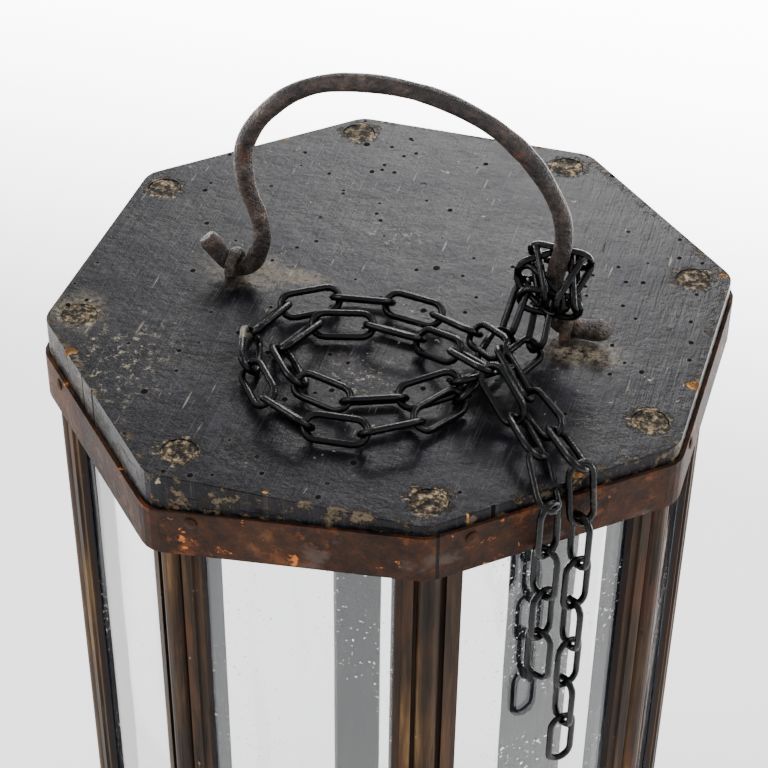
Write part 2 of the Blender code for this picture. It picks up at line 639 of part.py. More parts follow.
# ---------------------------------------------------------------- inside: shield and candle holder
def make_inside(top, base):
    under = BOARD_BOTTOM - GAP
    shield = [
        (SHIELD_RADIUS, under), (SHIELD_RADIUS + 0.001, under - 0.003), (SHIELD_RADIUS + 0.0002, under - 0.003),
        (SHIELD_RADIUS - 0.0008, under - SHIELD_THICKNESS), (0.0014, under - SHIELD_THICKNESS), (0.0014, under),
    ]
    turned("heat_shield", shield, "tinplate", steps=32, closed=True)
    low = under - SHIELD_THICKNESS - GAP
    nail = [(0, BOARD_BOTTOM + 0.010), (0.0010, BOARD_BOTTOM + 0.008), (0.0010, low), (0.0030, low), (0.0018, low - 0.0010), (0, low - 0.0012)]
    turned("shield_nail", nail, "rusty_iron", steps=12)
    combine(top, as_tool(cylinder("shield_nail_hole", 0.0013, BOARD_BOTTOM - 0.002, BOARD_BOTTOM + 0.011, "black_board", None, 8)))

    floor = FLOOR_INSIDE + GAP
    rim = floor + PAN_DEPTH
    pan = [
        (PAN_RADIUS, rim), (PAN_RADIUS - 0.006, floor), (0.0030, floor), (0.0030, floor + PAN_THICKNESS),
        (PAN_RADIUS - 0.0068, floor + PAN_THICKNESS), (PAN_RADIUS - 0.0012, rim),
    ]
    turned("drip_pan", pan, "tinplate", steps=32, closed=True)
    foot = floor + PAN_THICKNESS + GAP
    wall = 0.0009
    socket = [
        (SOCKET_RADIUS, foot + SOCKET_HEIGHT), (SOCKET_RADIUS, foot + wall), (SOCKET_RADIUS + 0.005, foot + wall),
        (SOCKET_RADIUS + 0.005, foot), (0.0030, foot), (0.0030, foot + wall),
        (SOCKET_RADIUS - wall, foot + wall), (SOCKET_RADIUS - wall, foot + SOCKET_HEIGHT),
    ]
    turned("candle_socket", socket, "tinplate", steps=24, closed=True)
    seat = foot + wall + GAP
    screw = [(0, seat + 0.0016), (0.0030, seat + 0.0012), (0.0045, seat), (0.0018, seat), (0.0018, 0.0080), (0, 0.0060)]
    turned("holder_screw", screw, "handle_iron", steps=12)
    combine(base, as_tool(cylinder("holder_hole", 0.0021, 0.0055, 0.04, "black_board", None, 12)))


# ---------------------------------------------------------------- chain, as plain solids
def make_chain():
    on_board = Matrix.Translation((0, 0, BODY_HEIGHT))
    routes = (("chain_end_long", LONG_END), ("chain_end_short", SHORT_END), ("chain_lead", CHAIN_LEAD))
    for name, route in routes:
        wire(name, smooth_path(route, 2), CHAIN_TUBE_RADIUS, "chain_steel", on_board)
    low = BODY_HEIGHT + GAP
    loops = [ellipse(COIL_MIDDLE, COIL_OUTER), ellipse(COIL_MIDDLE, COIL_INNER, 24)]
    plate("chain_coil", loops, low, low + COIL_HEIGHT, "chain_steel")
    hole = ellipse((KNOT_HOLE_X, 0), (KNOT_HOLE_RADIUS, KNOT_HOLE_RADIUS), 16)
    knot_loops = [ellipse(KNOT_MIDDLE, KNOT_SIZE, 24), hole]
    return plate("chain_knot", knot_loops, KNOT_LOW, KNOT_HIGH, "chain_steel", handle_place())


# ---------------------------------------------------------------- joints
def hang_on(axis_name, place, pieces):
    """Parents a moving body's pieces to an empty on its joint's axis."""
    axis = bpy.data.objects.new(axis_name, None)
    axis.empty_display_size = 0.02
    axis.location = place
    PARTS.objects.link(axis)
    bpy.context.view_layer.update()
    for piece in pieces:
        piece.parent = axis
        piece.matrix_parent_inverse = axis.matrix_world.inverted()


for leftover in list(bpy.data.objects):
    bpy.data.objects.remove(leftover)
PARTS = group("barn_lantern")
TOOLS = group("cutters")

top_board, base_board = make_boards()
lantern_posts = make_posts(top_board, base_board)
make_panes()
door_face = face_place(DOOR_FACE)
door = make_door(door_face)
for hinge_name, hinge_height in zip(("hinge_lower", "hinge_upper"), HINGE_HEIGHTS):
    door += make_hinge(hinge_name, door_face, hinge_height)
latch, latch_pivot = make_latch(door_face, lantern_posts[DOOR_FACE])
bail = make_handle(top_board)
make_inside(top_board, base_board)
knot = make_chain()

hang_on("door_axis", door_face @ Vector((HINGE_AXIS_X, HINGE_AXIS_Y, 0)), door)
hang_on("latch_axis", latch_pivot, latch)
hang_on("handle_axis", handle_place() @ Vector((0, 0, AXIS_ABOVE_BOARD)), [bail, knot])
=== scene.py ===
"""Looks of the octagonal barn lantern: camera, light, chain links, forged handle, and every material.

Lengths are in metres.
"""

import json
import math

import bpy
import bmesh
from mathutils import Matrix, Vector, noise


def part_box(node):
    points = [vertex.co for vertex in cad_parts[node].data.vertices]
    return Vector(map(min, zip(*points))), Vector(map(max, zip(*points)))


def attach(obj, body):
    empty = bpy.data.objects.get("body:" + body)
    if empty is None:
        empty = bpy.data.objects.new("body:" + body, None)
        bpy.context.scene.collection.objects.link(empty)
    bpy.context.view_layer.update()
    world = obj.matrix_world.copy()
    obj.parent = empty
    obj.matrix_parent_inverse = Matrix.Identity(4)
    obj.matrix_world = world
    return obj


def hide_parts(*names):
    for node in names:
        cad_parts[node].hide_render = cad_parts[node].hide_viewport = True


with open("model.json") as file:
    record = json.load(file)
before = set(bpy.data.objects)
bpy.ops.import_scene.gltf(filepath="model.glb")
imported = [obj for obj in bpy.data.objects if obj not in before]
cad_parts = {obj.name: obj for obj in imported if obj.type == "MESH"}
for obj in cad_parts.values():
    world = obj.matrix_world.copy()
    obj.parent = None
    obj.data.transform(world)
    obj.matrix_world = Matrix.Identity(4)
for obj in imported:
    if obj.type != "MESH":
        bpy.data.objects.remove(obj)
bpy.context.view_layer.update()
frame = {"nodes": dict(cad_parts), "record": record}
NODES = frame["nodes"]
BOARD_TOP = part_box("top_board")[1][2]

# ---------------------------------------------------------------- camera
CAMERA_AZIMUTH = math.radians(15.69)
CAMERA_ELEVATION = math.radians(38.65)
CAMERA_ROLL = math.radians(0.77)
CAMERA_PLACE = Vector((0.1992, -0.7174, BOARD_TOP + 0.5465))
CAMERA_LENS = 99.3


def make_camera():
    camera = bpy.data.objects.new("camera", bpy.data.cameras.new("camera"))
    bpy.context.scene.collection.objects.link(camera)
    camera.data.lens = CAMERA_LENS
    camera.data.sensor_width = 36
    camera.data.clip_end = 50
    turn = Matrix.Rotation(CAMERA_AZIMUTH, 4, "Z") @ Matrix.Rotation(math.pi / 2 - CAMERA_ELEVATION, 4, "X")
    camera.matrix_world = Matrix.Translation(CAMERA_PLACE) @ turn @ Matrix.Rotation(CAMERA_ROLL, 4, "Z")
    bpy.context.scene.camera = camera


# ---------------------------------------------------------------- materials: a small node builder
class Look:
    """A Principled material and the few nodes that its colour, roughness and bump are built from."""

    def __init__(self, name, roughness=0.6, metallic=0.0, colour=(0.5, 0.5, 0.5)):
        self.material = bpy.data.materials.new(name)
        self.material.use_nodes = True
        self.tree = self.material.node_tree
        self.shader = self.tree.nodes["Principled BSDF"]
        self.shader.inputs["Roughness"].default_value = roughness
        self.shader.inputs["Metallic"].default_value = metallic
        self.shader.inputs["Base Color"].default_value = (*colour, 1)
        self.place = self.node("ShaderNodeTexCoord").outputs["Object"]

    def node(self, kind, **settings):
        node = self.tree.nodes.new(kind)
        for key, value in settings.items():
            setattr(node, key, value)
        return node

    def feed(self, socket, value):
        if isinstance(value, bpy.types.NodeSocket):
            self.tree.links.new(value, socket)
        else:
            socket.default_value = value

    def math(self, operation, a, b=0.0, c=0.0):
        node = self.node("ShaderNodeMath", operation=operation)
        for socket, value in zip(node.inputs, (a, b, c)):
            self.feed(socket, value)
        return node.outputs[0]

    def stretched(self, scale, turn=0.0, shift=(0, 0, 0)):
        """The object's coordinates, turned about Z by some degrees and scaled, for streaked textures."""
        node = self.node("ShaderNodeMapping")
        self.feed(node.inputs["Vector"], self.place)
        node.inputs["Rotation"].default_value = (0, 0, math.radians(turn))
        node.inputs["Scale"].default_value = scale
        node.inputs["Location"].default_value = shift
        return node.outputs[0]

    def noise(self, scale, detail=4.0, rough=0.55, where=None):
        node = self.node("ShaderNodeTexNoise")
        self.feed(node.inputs["Vector"], self.place if where is None else where)
        node.inputs["Scale"].default_value = scale
        node.inputs["Detail"].default_value = detail
        node.inputs["Roughness"].default_value = rough
        return node.outputs["Fac"]

    def cells(self, scale, where):
        """Distance to the nearest of many scattered points, and that point's random colour."""
        node = self.node("ShaderNodeTexVoronoi")
        self.feed(node.inputs["Vector"], where)
        node.inputs["Scale"].default_value = scale
        node.inputs["Randomness"].default_value = 1.0
        return node.outputs["Distance"], node.outputs["Color"]

    def step(self, value, low, high):
        """0 below low and 1 above high, or the other way round where low is the larger."""
        node = self.node("ShaderNodeMapRange", interpolation_type="SMOOTHSTEP")
        self.feed(node.inputs["Value"], value)
        node.inputs["From Min"].default_value = min(low, high)
        node.inputs["From Max"].default_value = max(low, high)
        node.inputs["To Min"].default_value = 0.0 if low < high else 1.0
        node.inputs["To Max"].default_value = 1.0 if low < high else 0.0
        return node.outputs["Result"]

    def mix(self, share, a, b):
        node = self.node("ShaderNodeMix", data_type="RGBA")
        self.feed(node.inputs["Factor"], share)
        for socket, value in ((node.inputs[6], a), (node.inputs[7], b)):
            self.feed(socket, (*value, 1) if isinstance(value, tuple) else value)
        return node.outputs[2]

    def ramp(self, value, stops):
        node = self.node("ShaderNodeValToRGB")
        self.feed(node.inputs["Fac"], value)
        ramp = node.color_ramp
        while len(ramp.elements) < len(stops):
            ramp.elements.new(0.5)
        for element, (position, colour) in zip(ramp.elements, stops):
            element.position = position
            element.color = (*colour, 1)
        return node.outputs["Color"]

    def split(self, where=None):
        node = self.node("ShaderNodeSeparateXYZ")
        self.feed(node.inputs[0], self.place if where is None else where)
        return node.outputs

    def spots(self, places, ragged=0.35, grain=160.0, edge=0.2):
        """Ragged patches, each (x, y, radius along X, radius along Y), placed by X and Y alone on every
        surface.
        """
        wobble = self.math("MULTIPLY_ADD", self.noise(grain, 3.0), 2 * ragged, 1 - ragged)
        total = None
        x, y, _ = self.split()
        for px, py, rx, ry in places:
            dx = self.math("DIVIDE", self.math("SUBTRACT", x, px), rx)
            dy = self.math("DIVIDE", self.math("SUBTRACT", y, py), ry)
            squares = self.math("ADD", self.math("MULTIPLY", dx, dx), self.math("MULTIPLY", dy, dy))
            far = self.math("SQRT", squares)
            inside = self.step(self.math("MULTIPLY", far, wobble), 1.0, 1.0 - edge)
            total = inside if total is None else self.math("MAXIMUM", total, inside)
        return total

    def finish(self, colour=None, roughness=None, height=None, depth=0.0005):
        if colour is not None:
            self.feed(self.shader.inputs["Base Color"], colour)
        if roughness is not None:
            self.feed(self.shader.inputs["Roughness"], roughness)
        if height is not None:
            bump = self.node("ShaderNodeBump")
            bump.inputs["Strength"].default_value = 1.0
            bump.inputs["Distance"].default_value = depth
            self.feed(bump.inputs["Height"], height)
            self.feed(self.shader.inputs["Normal"], bump.outputs["Normal"])
        return self.material


def tone(red, green, blue):
    """A colour given as it looks on a screen, 0 to 255, as linear light."""
    levels = (red, green, blue)
    return tuple(((c / 255 + 0.055) / 1.055) ** 2.4 if c > 10 else c / 255 / 12.92 for c in levels)


GRAIN_TURN = 5.0  # degrees that the board's grain turns from +Y
TENON_CIRCLE = 0.1345
TENON_SIZE = 0.0078


def octagon_depth(look):
    """How far each point is from the lantern's middle, measured square to the nearest face."""
    x, y, _ = look.split()
    across = look.math("MAXIMUM", look.math("ABSOLUTE", x), look.math("ABSOLUTE", y))
    half = math.sqrt(0.5)
    diagonal = look.math(
        "MAXIMUM",
        look.math("ABSOLUTE", look.math("ADD", x, y)),
        look.math("ABSOLUTE", look.math("SUBTRACT", x, y)),
    )
    return look.math("MAXIMUM", across, look.math("MULTIPLY", diagonal, half))


def worm_holes(look):
    """Beetles' round holes, placed by X and Y alone, in loose groups, and the pale rim round each."""
    holes, rims = 0.0, 0.0
    for scale, size, shift in ((95, 0.0011, 0), (130, 0.0009, 3), (60, 0.0014, 7)):
        distance, random = look.cells(scale, look.stretched((1, 0.85, 0), 0, (shift, shift, 0)))
        where = look.step(look.noise(16, 2, 0.5, look.stretched((1, 1, 0), 0, (shift, 2, 0))), 0.45, 0.50)
        picked = look.math("MULTIPLY", look.step(look.split(random)[0], 0.26, 0.30), where)
        hole = look.step(distance, size * scale * 1.15, size * scale * 0.85)
        rim = look.step(distance, size * scale * 2.2, size * scale * 1.2)
        holes = look.math("MAXIMUM", holes, look.math("MULTIPLY", hole, picked))
        rims = look.math("MAXIMUM", rims, look.math("MULTIPLY", rim, picked))
    return holes, rims


def end_grain(look):
    """The colour of a post's worn tenon end: old paint, open grain and pale wood."""
    rough = look.noise(260, 6, 0.75)
    return look.ramp(
        rough,
        (
            (0.40, tone(9, 8, 8)),
            (0.48, tone(38, 32, 26)),
            (0.54, tone(92, 79, 61)),
            (0.63, tone(172, 150, 116)),
        ),
    )


EDGE_CHIPS = 11
CHIP_TURN = math.radians(137.5)
FIRST_CHIP = 0.4  # radians from +X
CHIP_SIZE = 0.0024
CHIP_VARIES = 0.0018
CHIP_DEPTH = 0.1375  # from the middle to the chips, square to the board's edge


def edge_chips():
    """Where the paint is knocked off down to bare wood, round the board's edge."""
    places = []
    for index in range(EDGE_CHIPS):
        turn = CHIP_TURN * index + FIRST_CHIP
        off_square = (turn + math.pi / 8) % (math.pi / 4) - math.pi / 8
        reach = CHIP_DEPTH / math.cos(off_square)
        size = CHIP_SIZE + CHIP_VARIES * math.sin(5.3 * index)
        places.append((reach * math.cos(turn), reach * math.sin(turn), size, size * 0.7))
    return tuple(places)


def board_look():
    look = Look("old_black_paint")
    look.shader.inputs["Specular IOR Level"].default_value = 0.11
    streaks = look.noise(9, 6, 0.62, look.stretched((22, 1.2, 8), GRAIN_TURN))
    fine = look.noise(30, 5, 0.6, look.stretched((30, 1.0, 10), GRAIN_TURN))
    blotch = look.noise(9, 5, 0.6)
    cloudy = look.noise(26, 7, 0.68)
    speckle = look.noise(420, 3, 0.7)
    colour = look.ramp(
        look.math("MULTIPLY_ADD", streaks, 0.3, look.math("MULTIPLY", cloudy, 0.7)),
        (
            (0.38, tone(3, 3, 5)),
            (0.48, tone(8, 7, 12)),
            (0.58, tone(16, 15, 22)),
            (0.72, tone(40, 38, 45)),
        ),
    )
    # Worn paint shows greyish wood along the grain.
    worn = look.math("MULTIPLY", look.step(fine, 0.56, 0.70), look.step(blotch, 0.46, 0.62))
    colour = look.mix(look.math("MULTIPLY", worn, 0.20), colour, tone(104, 98, 92))
    lines = look.noise(60, 3, 0.6, look.stretched((26, 0.5, 0), GRAIN_TURN + 1, (2, 0, 0)))
    lines = look.step(lines, 0.56, 0.70)
    colour = look.mix(look.math("MULTIPLY", lines, 0.35), colour, tone(74, 71, 70))
    scratches = look.step(look.noise(34, 1, 0.5, look.stretched((20, 1.5, 0), GRAIN_TURN + 2)), 0.70, 0.74)
    scratches = look.math("MULTIPLY", scratches, look.step(cloudy, 0.50, 0.60))
    colour = look.mix(look.math("MULTIPLY", scratches, 0.6), colour, tone(140, 130, 114))
    nicks = look.step(look.noise(190, 3, 0.7), 0.66, 0.70)
    nicked = look.noise(15, 3, 0.6, look.stretched((1, 1, 0), 0, (4, 9, 0)))
    nicks = look.math("MULTIPLY", nicks, look.step(nicked, 0.48, 0.6))
    colour = look.mix(look.math("MULTIPLY", nicks, 0.7), colour, tone(164, 150, 126))
    # Dust, round the staples most of all.
    dust = look.spots(
        (
            (-0.064, 0.000, 0.030, 0.017), (-0.044, 0.002, 0.022, 0.009), (0.087, -0.014, 0.028, 0.014),
            (-0.126, -0.050, 0.016, 0.020),
        ),
        0.5,
        90,
        0.95,
    )
    dust = look.math("MULTIPLY", dust, look.step(look.noise(330, 6, 0.85), 0.38, 0.62))
    colour = look.mix(look.math("MULTIPLY", dust, 0.75), colour, tone(150, 138, 118))
    specks = look.spots(
        ((0.006, -0.058, 0.026, 0.022), (-0.012, 0.045, 0.020, 0.014), (-0.096, -0.078, 0.036, 0.050)),
        0.6,
        70,
        0.9,
    )
    specks = look.math("MULTIPLY", specks, look.step(look.noise(260, 4, 0.8), 0.55, 0.64))
    colour = look.mix(look.math("MULTIPLY", specks, 0.7), colour, tone(156, 144, 122))
    # Patches of bare wood along the worn edge.
    chips = look.spots(edge_chips(), 0.6, 420)
    chips = look.math("MULTIPLY", chips, look.step(look.split()[2], BOARD_TOP - 0.0055, BOARD_TOP - 0.0030))
    wood = look.mix(look.step(look.noise(150, 4, 0.7), 0.42, 0.58), tone(92, 62, 34), tone(196, 142, 82))
    colour = look.mix(look.math("MULTIPLY", chips, 0.95), colour, wood)
    # The board is split and flaked round the worn tenon ends.
    tenons = []
    for corner in range(8):
        turn = math.radians(22.5 + 45 * corner)
        x, y = TENON_CIRCLE * math.cos(turn), TENON_CIRCLE * math.sin(turn)
        tenons.append((x, y, TENON_SIZE * 1.4, TENON_SIZE * 1.3))
    flakes = look.step(look.noise(260, 5, 0.75), 0.44, 0.56)
    flaked = look.math("MULTIPLY", look.spots(tuple(tenons), 0.55, 150), flakes)
    colour = look.mix(look.math("MULTIPLY", flaked, 0.6), colour, end_grain(look))
    # Its rim is knocked and scuffed, and its sides are open dark grain with a few splits.
    depth = octagon_depth(look)
    scuffs = look.step(look.noise(120, 6, 0.8), 0.52, 0.60)
    rim = look.math("MULTIPLY", look.step(depth, 0.1345, 0.1395), scuffs)
    colour = look.mix(look.math("MULTIPLY", rim, 0.55), colour, tone(112, 96, 74))
    side = look.step(look.split()[2], BOARD_TOP - 0.003, BOARD_TOP - 0.005)
    splits = look.step(look.noise(24, 5, 0.7, look.stretched((1, 1, 9), 0, (1, 6, 2))), 0.47, 0.40)
    splits = look.math("MULTIPLY", splits, side)
    colour = look.mix(look.math("MULTIPLY", splits, 0.85), colour, tone(5, 4, 4))
    holes, rims = worm_holes(look)
    colour = look.mix(look.math("MULTIPLY", rims, 0.06), colour, tone(130, 116, 96))
    colour = look.mix(holes, colour, tone(5, 4, 4))
    # Long cracks follow the grain in from the edges.
    cracks = look.noise(20, 2, 0.5, look.stretched((9, 0.55, 3), GRAIN_TURN - 1, (3, 0, 0)))
    cracks = look.step(cracks, 0.26, 0.235)
    colour = look.mix(cracks, colour, tone(6, 5, 5))
    height = look.math("MULTIPLY_ADD", fine, 0.15, look.math("MULTIPLY", streaks, 0.35))
    height = look.math("MULTIPLY_ADD", cloudy, 1.1, height)
    height = look.math("MULTIPLY_ADD", speckle, 0.12, height)
    sunk = ((holes, 0.5), (chips, 0.4), (cracks, 0.9), (flaked, 0.35), (splits, 0.6), (rim, 0.4))
    for lower, share in sunk:
        height = look.math("SUBTRACT", height, look.math("MULTIPLY", lower, share))
    rough = look.math("MULTIPLY_ADD", cloudy, 0.30, 0.20)
    matt = look.math("MAXIMUM", look.math("MAXIMUM", dust, chips), look.math("MAXIMUM", holes, cracks))
    rough = look.math("MAXIMUM", rough, look.math("MULTIPLY", matt, 0.95))
    return look.finish(colour, rough, height, 0.0010)


def post_look():
    look = Look("old_post_wood")
    look.shader.inputs["Specular IOR Level"].default_value = 0.10
    grain = look.noise(16, 6, 0.6, look.stretched((12, 12, 0.7)))
    fine = look.noise(60, 4, 0.65, look.stretched((9, 9, 0.5)))
    blotch = look.noise(18, 4, 0.6, look.stretched((2, 2, 0.8)))
    colour = look.ramp(
        look.math("MULTIPLY_ADD", grain, 0.6, look.math("MULTIPLY", blotch, 0.4)),
        (
            (0.36, tone(15, 10, 6)),
            (0.47, tone(40, 27, 16)),
            (0.57, tone(70, 49, 29)),
            (0.68, tone(118, 91, 56)),
        ),
    )
    red = look.step(look.noise(26, 5, 0.6, look.stretched((3, 3, 0.5), 0, (3, 1, 4))), 0.52, 0.64)
    colour = look.mix(look.math("MULTIPLY", red, 0.35), colour, tone(80, 44, 24))
    depth = octagon_depth(look)
    # Painted shade: the posts' grooves, just inside their outer faces, are painted darker where shade falls
    # in them.
    groove_shade = look.step(depth, 0.1350, 0.1334)
    colour = look.mix(look.math("MULTIPLY", groove_shade, 0.80), colour, tone(34, 25, 20))
    inner = look.step(depth, 0.1325, 0.1315)
    streaked = look.noise(40, 4, 0.6, look.stretched((5, 5, 0.6)))
    colour = look.mix(inner, colour, look.mix(streaked, tone(11, 14, 19), tone(34, 40, 50)))
    cracks = look.step(look.noise(46, 3, 0.6, look.stretched((10, 10, 0.35), 0, (7, 2, 1))), 0.33, 0.29)
    colour = look.mix(look.math("MULTIPLY", cracks, 0.9), colour, tone(22, 16, 13))
    pale = look.step(look.noise(240, 3, 0.7, look.stretched((1, 1, 0.35))), 0.70, 0.76)
    colour = look.mix(look.math("MULTIPLY", pale, 0.4), colour, tone(170, 150, 124))
    top = look.step(look.split()[2], BOARD_TOP - 0.006, BOARD_TOP - 0.004)
    colour = look.mix(top, colour, end_grain(look))
    height = look.math("SUBTRACT", look.math("MULTIPLY_ADD", fine, 0.5, grain), cracks)
    height = look.math("MULTIPLY_ADD", look.math("MULTIPLY", top, look.noise(260, 6, 0.75)), 3.0, height)
    rough = look.math("MULTIPLY_ADD", blotch, 0.35, 0.38)
    return look.finish(colour, rough, height, 0.0006)


LAP_CORNER = math.radians(-67.5)  # the top band's ends lap at this corner


def rust_look():
    """Brown rusted iron, orange in places, with the lap of the top band's two ends."""
    look = Look("rusty_sheet")
    look.shader.inputs["Specular IOR Level"].default_value = 0.10
    broad = look.noise(26, 6, 0.65)
    fine = look.noise(150, 5, 0.7)
    colour = look.ramp(
        look.math("MULTIPLY_ADD", broad, 0.6, look.math("MULTIPLY", fine, 0.4)),
        (
            (0.36, tone(17, 10, 6)),
            (0.46, tone(36, 20, 12)),
            (0.56, tone(58, 34, 20)),
            (0.66, tone(92, 60, 38)),
        ),
    )
    orange = look.step(look.noise(60, 5, 0.75, look.stretched((1, 1, 1), 0, (2, 5, 3))), 0.55, 0.66)
    colour = look.mix(look.math("MULTIPLY", orange, 0.5), colour, tone(112, 62, 32))
    bright = look.step(look.noise(95, 4, 0.7, look.stretched((1, 1, 1.4), 0, (7, 5, 1))), 0.64, 0.70)
    colour = look.mix(look.math("MULTIPLY", bright, 0.8), colour, tone(196, 112, 50))
    bare = look.step(look.noise(38, 5, 0.6, look.stretched((1, 1, 1.6), 0, (5, 1, 9))), 0.58, 0.68)
    colour = look.mix(look.math("MULTIPLY", bare, 0.5), colour, tone(84, 72, 65))
    x, y, z = look.split()
    past_corner = look.math("MULTIPLY", x, -math.sin(LAP_CORNER))
    past_corner = look.math("MULTIPLY_ADD", y, math.cos(LAP_CORNER), past_corner)
    near = look.math("MULTIPLY", look.step(y, -0.09, -0.11), look.step(z, 0.40, 0.42))
    seam = look.step(look.math("ABSOLUTE", look.math("SUBTRACT", past_corner, 0.0015)), 0.0009, 0.0003)
    seam = look.math("MULTIPLY", seam, near)
    colour = look.mix(look.math("MULTIPLY", seam, 0.9), colour, tone(10, 7, 6))
    rough = look.math("MULTIPLY_ADD", fine, 0.4, 0.40)
    height = look.math("SUBTRACT", look.math("ADD", broad, fine), look.math("MULTIPLY", seam, 0.8))
    return look.finish(colour, rough, height, 0.0007)


def forged_look():
    look = Look("forged_handle_iron", metallic=0.3)
    broad = look.noise(45, 5, 0.6)
    fine = look.noise(300, 4, 0.75)
    pits = look.step(look.noise(520, 2, 0.6), 0.40, 0.32)
    colour = look.ramp(
        look.math("MULTIPLY_ADD", broad, 0.55, look.math("MULTIPLY", fine, 0.45)),
        (
            (0.38, tone(17, 13, 12)),
            (0.48, tone(42, 33, 30)),
            (0.57, tone(74, 60, 52)),
            (0.68, tone(132, 114, 102)),
        ),
    )
    rust = look.step(look.noise(70, 5, 0.7, look.stretched((1, 1, 1), 0, (9, 2, 4))), 0.57, 0.67)
    colour = look.mix(look.math("MULTIPLY", rust, 0.55), colour, tone(100, 60, 42))
    # The flattened ends, low on the board, are dusty.
    low_down = look.step(look.split()[2], BOARD_TOP + 0.016, BOARD_TOP + 0.006)
    dust = look.math("MULTIPLY", low_down, look.step(fine, 0.44, 0.60))
    colour = look.mix(look.math("MULTIPLY", dust, 0.30), colour, tone(120, 108, 90))
    height = look.math("MULTIPLY_ADD", fine, 1.8, broad)
    height = look.math("SUBTRACT", height, look.math("MULTIPLY", pits, 0.5))
    return look.finish(colour, look.math("MULTIPLY_ADD", fine, 0.4, 0.30), height, 0.0015)


def chain_look():
    look = Look("black_chain_steel")
    look.shader.inputs["Specular IOR Level"].default_value = 0.20
    fine = look.noise(380, 4, 0.7)
    broad = look.noise(70, 4, 0.6)
    colour = look.ramp(broad, ((0.35, tone(2, 2, 3)), (0.55, tone(5, 5, 6)), (0.75, tone(14, 13, 13))))
    dust = look.step(look.noise(34, 5, 0.7), 0.64, 0.74)
    colour = look.mix(look.math("MULTIPLY", dust, 0.25), colour, tone(130, 116, 98))
    # The coil is grey with dirt at its left end.
    tip = look.spots(((-0.050, -0.056, 0.006, 0.006),), 0.3, 200)
    colour = look.mix(look.math("MULTIPLY", tip, 0.55), colour, tone(120, 112, 98))
    return look.finish(colour, look.math("MULTIPLY_ADD", fine, 0.26, 0.06), fine, 0.0003)


def tin_look():
    look = Look("smoked_tinplate", metallic=0.85)
    broad = look.noise(40, 5, 0.6)
    stops = ((0.35, tone(84, 80, 72)), (0.55, tone(150, 146, 136)), (0.75, tone(182, 180, 172)))
    colour = look.ramp(broad, stops)
    return look.finish(colour, look.math("MULTIPLY_ADD", broad, 0.4, 0.25), broad, 0.0004)


def glass_look():
    look = Look("old_window_glass", roughness=0.015, colour=(0.985, 0.992, 0.988))
    look.shader.inputs["Transmission Weight"].default_value = 1.0
    look.shader.inputs["IOR"].default_value = 1.46
    ripple = look.noise(14, 2, 0.4, look.stretched((1, 1, 0.6)))
    # Specks of dust and lime, thicker in places, and a faint run here and there.
    gathered = look.step(look.noise(16, 3, 0.6), 0.46, 0.60)
    specks = look.math("MULTIPLY", look.step(look.noise(520, 2, 0.6), 0.66, 0.70), gathered)
    runs = look.step(look.noise(90, 2, 0.5, look.stretched((1, 1, 0.05))), 0.60, 0.78)
    runs = look.math("MULTIPLY", runs, 0.12)
    dirt = look.math("MAXIMUM", look.math("MULTIPLY", specks, 0.8), runs)
    look.feed(look.shader.inputs["Transmission Weight"], look.math("SUBTRACT", 1.0, dirt))
    return look.finish(roughness=look.math("MULTIPLY_ADD", dirt, 0.5, 0.015), height=ripple, depth=0.0004)


# ---------------------------------------------------------------- meshes
def add_mesh(name, shape, material):
    mesh = bpy.data.meshes.new(name)
    shape.to_mesh(mesh)
    shape.free()
    mesh.materials.append(material)
    mesh.shade_smooth()
    piece = bpy.data.objects.new(name, mesh)
    bpy.context.scene.collection.objects.link(piece)
    return piece


def loft(shape, rings, closed=False):
    """Joins rings of points into one surface. An open one gets flat ends."""
    made = [[shape.verts.new(point) for point in ring] for ring in rings]
    count = len(made[0])
    pairs = list(zip(made, made[1:]))
    if closed:
        pairs.append((made[-1], made[0]))
    for near, far in pairs:
        for i in range(count):
            j = (i + 1) % count
            shape.faces.new((near[i], near[j], far[j], far[i]))
    if not closed:
        shape.faces.new(list(reversed(made[0])))
        shape.faces.new(made[-1])


def curve_through(places, pieces):
    """Points of a smooth curve through the places, with some pieces between each two."""
    places = [2 * places[0] - places[1], *places, 2 * places[-1] - places[-2]]
    points = []
    for i in range(1, len(places) - 2):
        a, b, c, d = places[i - 1 : i + 3]
        for step in range(pieces):
            t = step / pieces
            curve = 2 * b + (c - a) * t + (2 * a - 5 * b + 4 * c - d) * t * t + (3 * b - a - 3 * c + d) * t**3
            points.append(curve / 2)
    return points + [places[-2]]


# ---------------------------------------------------------------- chain
LINK_PITCH = 0.0230  # inner length of a link
LINK_WIDTH = 0.0135
LINK_WIRE = 0.0015
WIRE_SIDES = 10
LINK_END_STEPS = 8  # pieces in the half circle at each end of a link
ROUTE_PIECES = 20  # pieces of curve between two of a route's points
# The ends' routes and the short run's lead, as part.py has them: X, Y, and up from the board's top, in
# metres.
CHAIN_LIFT = 0.0060
LONG_END = (
    (0.0730, -0.0565, 0.0075), (0.0790, -0.0632, 0.0065), (0.0885, -0.0735, CHAIN_LIFT),
    (0.0985, -0.0868, CHAIN_LIFT), (0.1062, -0.0962, 0.0052), (0.1079, -0.0990, -0.0030),
    (0.1076, -0.0996, -0.0140), (0.1072, -0.0998, -0.0600), (0.1068, -0.0997, -0.1100),
    (0.1068, -0.0997, -0.1560),
)
SHORT_END = (
    (0.0700, -0.0690, 0.0075), (0.0780, -0.0785, 0.0062), (0.0858, -0.0902, CHAIN_LIFT),
    (0.0922, -0.1030, CHAIN_LIFT), (0.0948, -0.1080, 0.0035), (0.0962, -0.1104, -0.0040),
    (0.0964, -0.1108, -0.0140), (0.0962, -0.1104, -0.0600), (0.0962, -0.1103, -0.1100),
)
CHAIN_LEAD = ((0.0700, -0.0270, CHAIN_LIFT), (0.0698, -0.0340, CHAIN_LIFT), (0.0672, -0.0410, CHAIN_LIFT))
COIL_MIDDLE = (0.003, -0.055)
TURN_STEPS = 16
